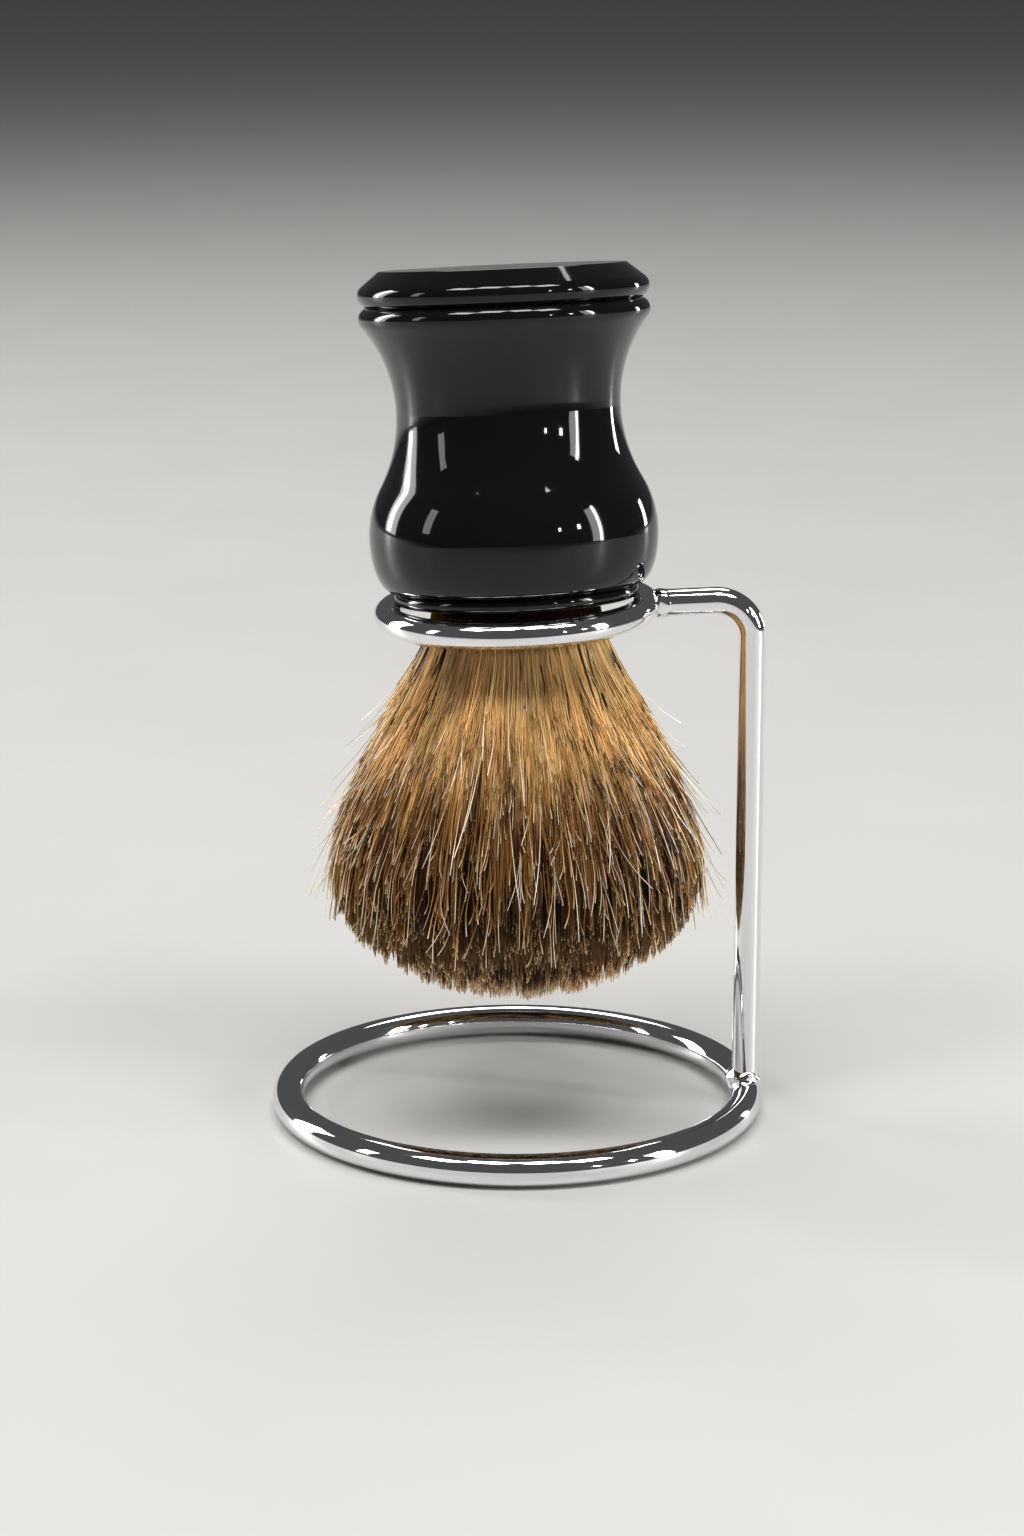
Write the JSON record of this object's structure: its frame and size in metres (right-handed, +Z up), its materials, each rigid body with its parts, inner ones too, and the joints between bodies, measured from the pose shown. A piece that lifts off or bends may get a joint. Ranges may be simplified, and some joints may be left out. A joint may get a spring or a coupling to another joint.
{
  "type": "shaving brush",
  "caption": "Shaving brush with a turned handle and a full round hair knot, hanging hair-down by its collar in a bent-rod wire stand with a round base.",
  "frame": {"origin": "on the table, at the centre of the stand's base ring", "axes": "+Z up, +X from the base ring's centre towards the stand's post, +Y away from the usual viewing side"},
  "size_m": [0.0727, 0.0726, 0.1261],
  "materials": {
    "stand_chrome": "mirror polished",
    "weld_metal": "plated over a slightly lumpy weld",
    "black_resin": "polished to a deep gloss",
    "steel": "turned",
    "thread": "waxed",
    "set_resin": "cast",
    "adhesive": "cured",
    "cork": "cut",
    "hair": "natural hair, golden at the root, dark in the middle, pale at the tips"
  },
  "bodies": {
    "stand": {"base_ring": "stand_chrome", "cradle_ring": "stand_chrome", "stand_rod": "stand_chrome", "base_weld": "weld_metal", "cradle_weld": "weld_metal"},
    "brush": {"neck_collar": "black_resin", "handle_body": "black_resin", "foot_cap": "black_resin", "handle_weight": "steel", "knot_binding": "thread", "knot_plug": "set_resin", "socket_adhesive": "adhesive", "loft_shim": "cork", "hair_base": "hair"},
    "hair": {"hair_tips": "hair"}
  },
  "joints": [
    {"name": "brush_lift", "type": "slide", "parent": "stand", "child": "brush", "axis": [-0.0435, 0.0872, 0.9952], "range_m": [0, 0.062], "deforming": ["hair_base", "hair_tips"]},
    {"name": "hair_bend", "type": "hinge", "parent": "brush", "child": "hair", "pos_m": [-0.00007, -0.00094, 0.077], "axis": [1, 0, 0], "range_deg": [-18, 18], "stiffness_Nm_per_rad": 0.06, "deforming": ["hair_tips"]}
  ]
}
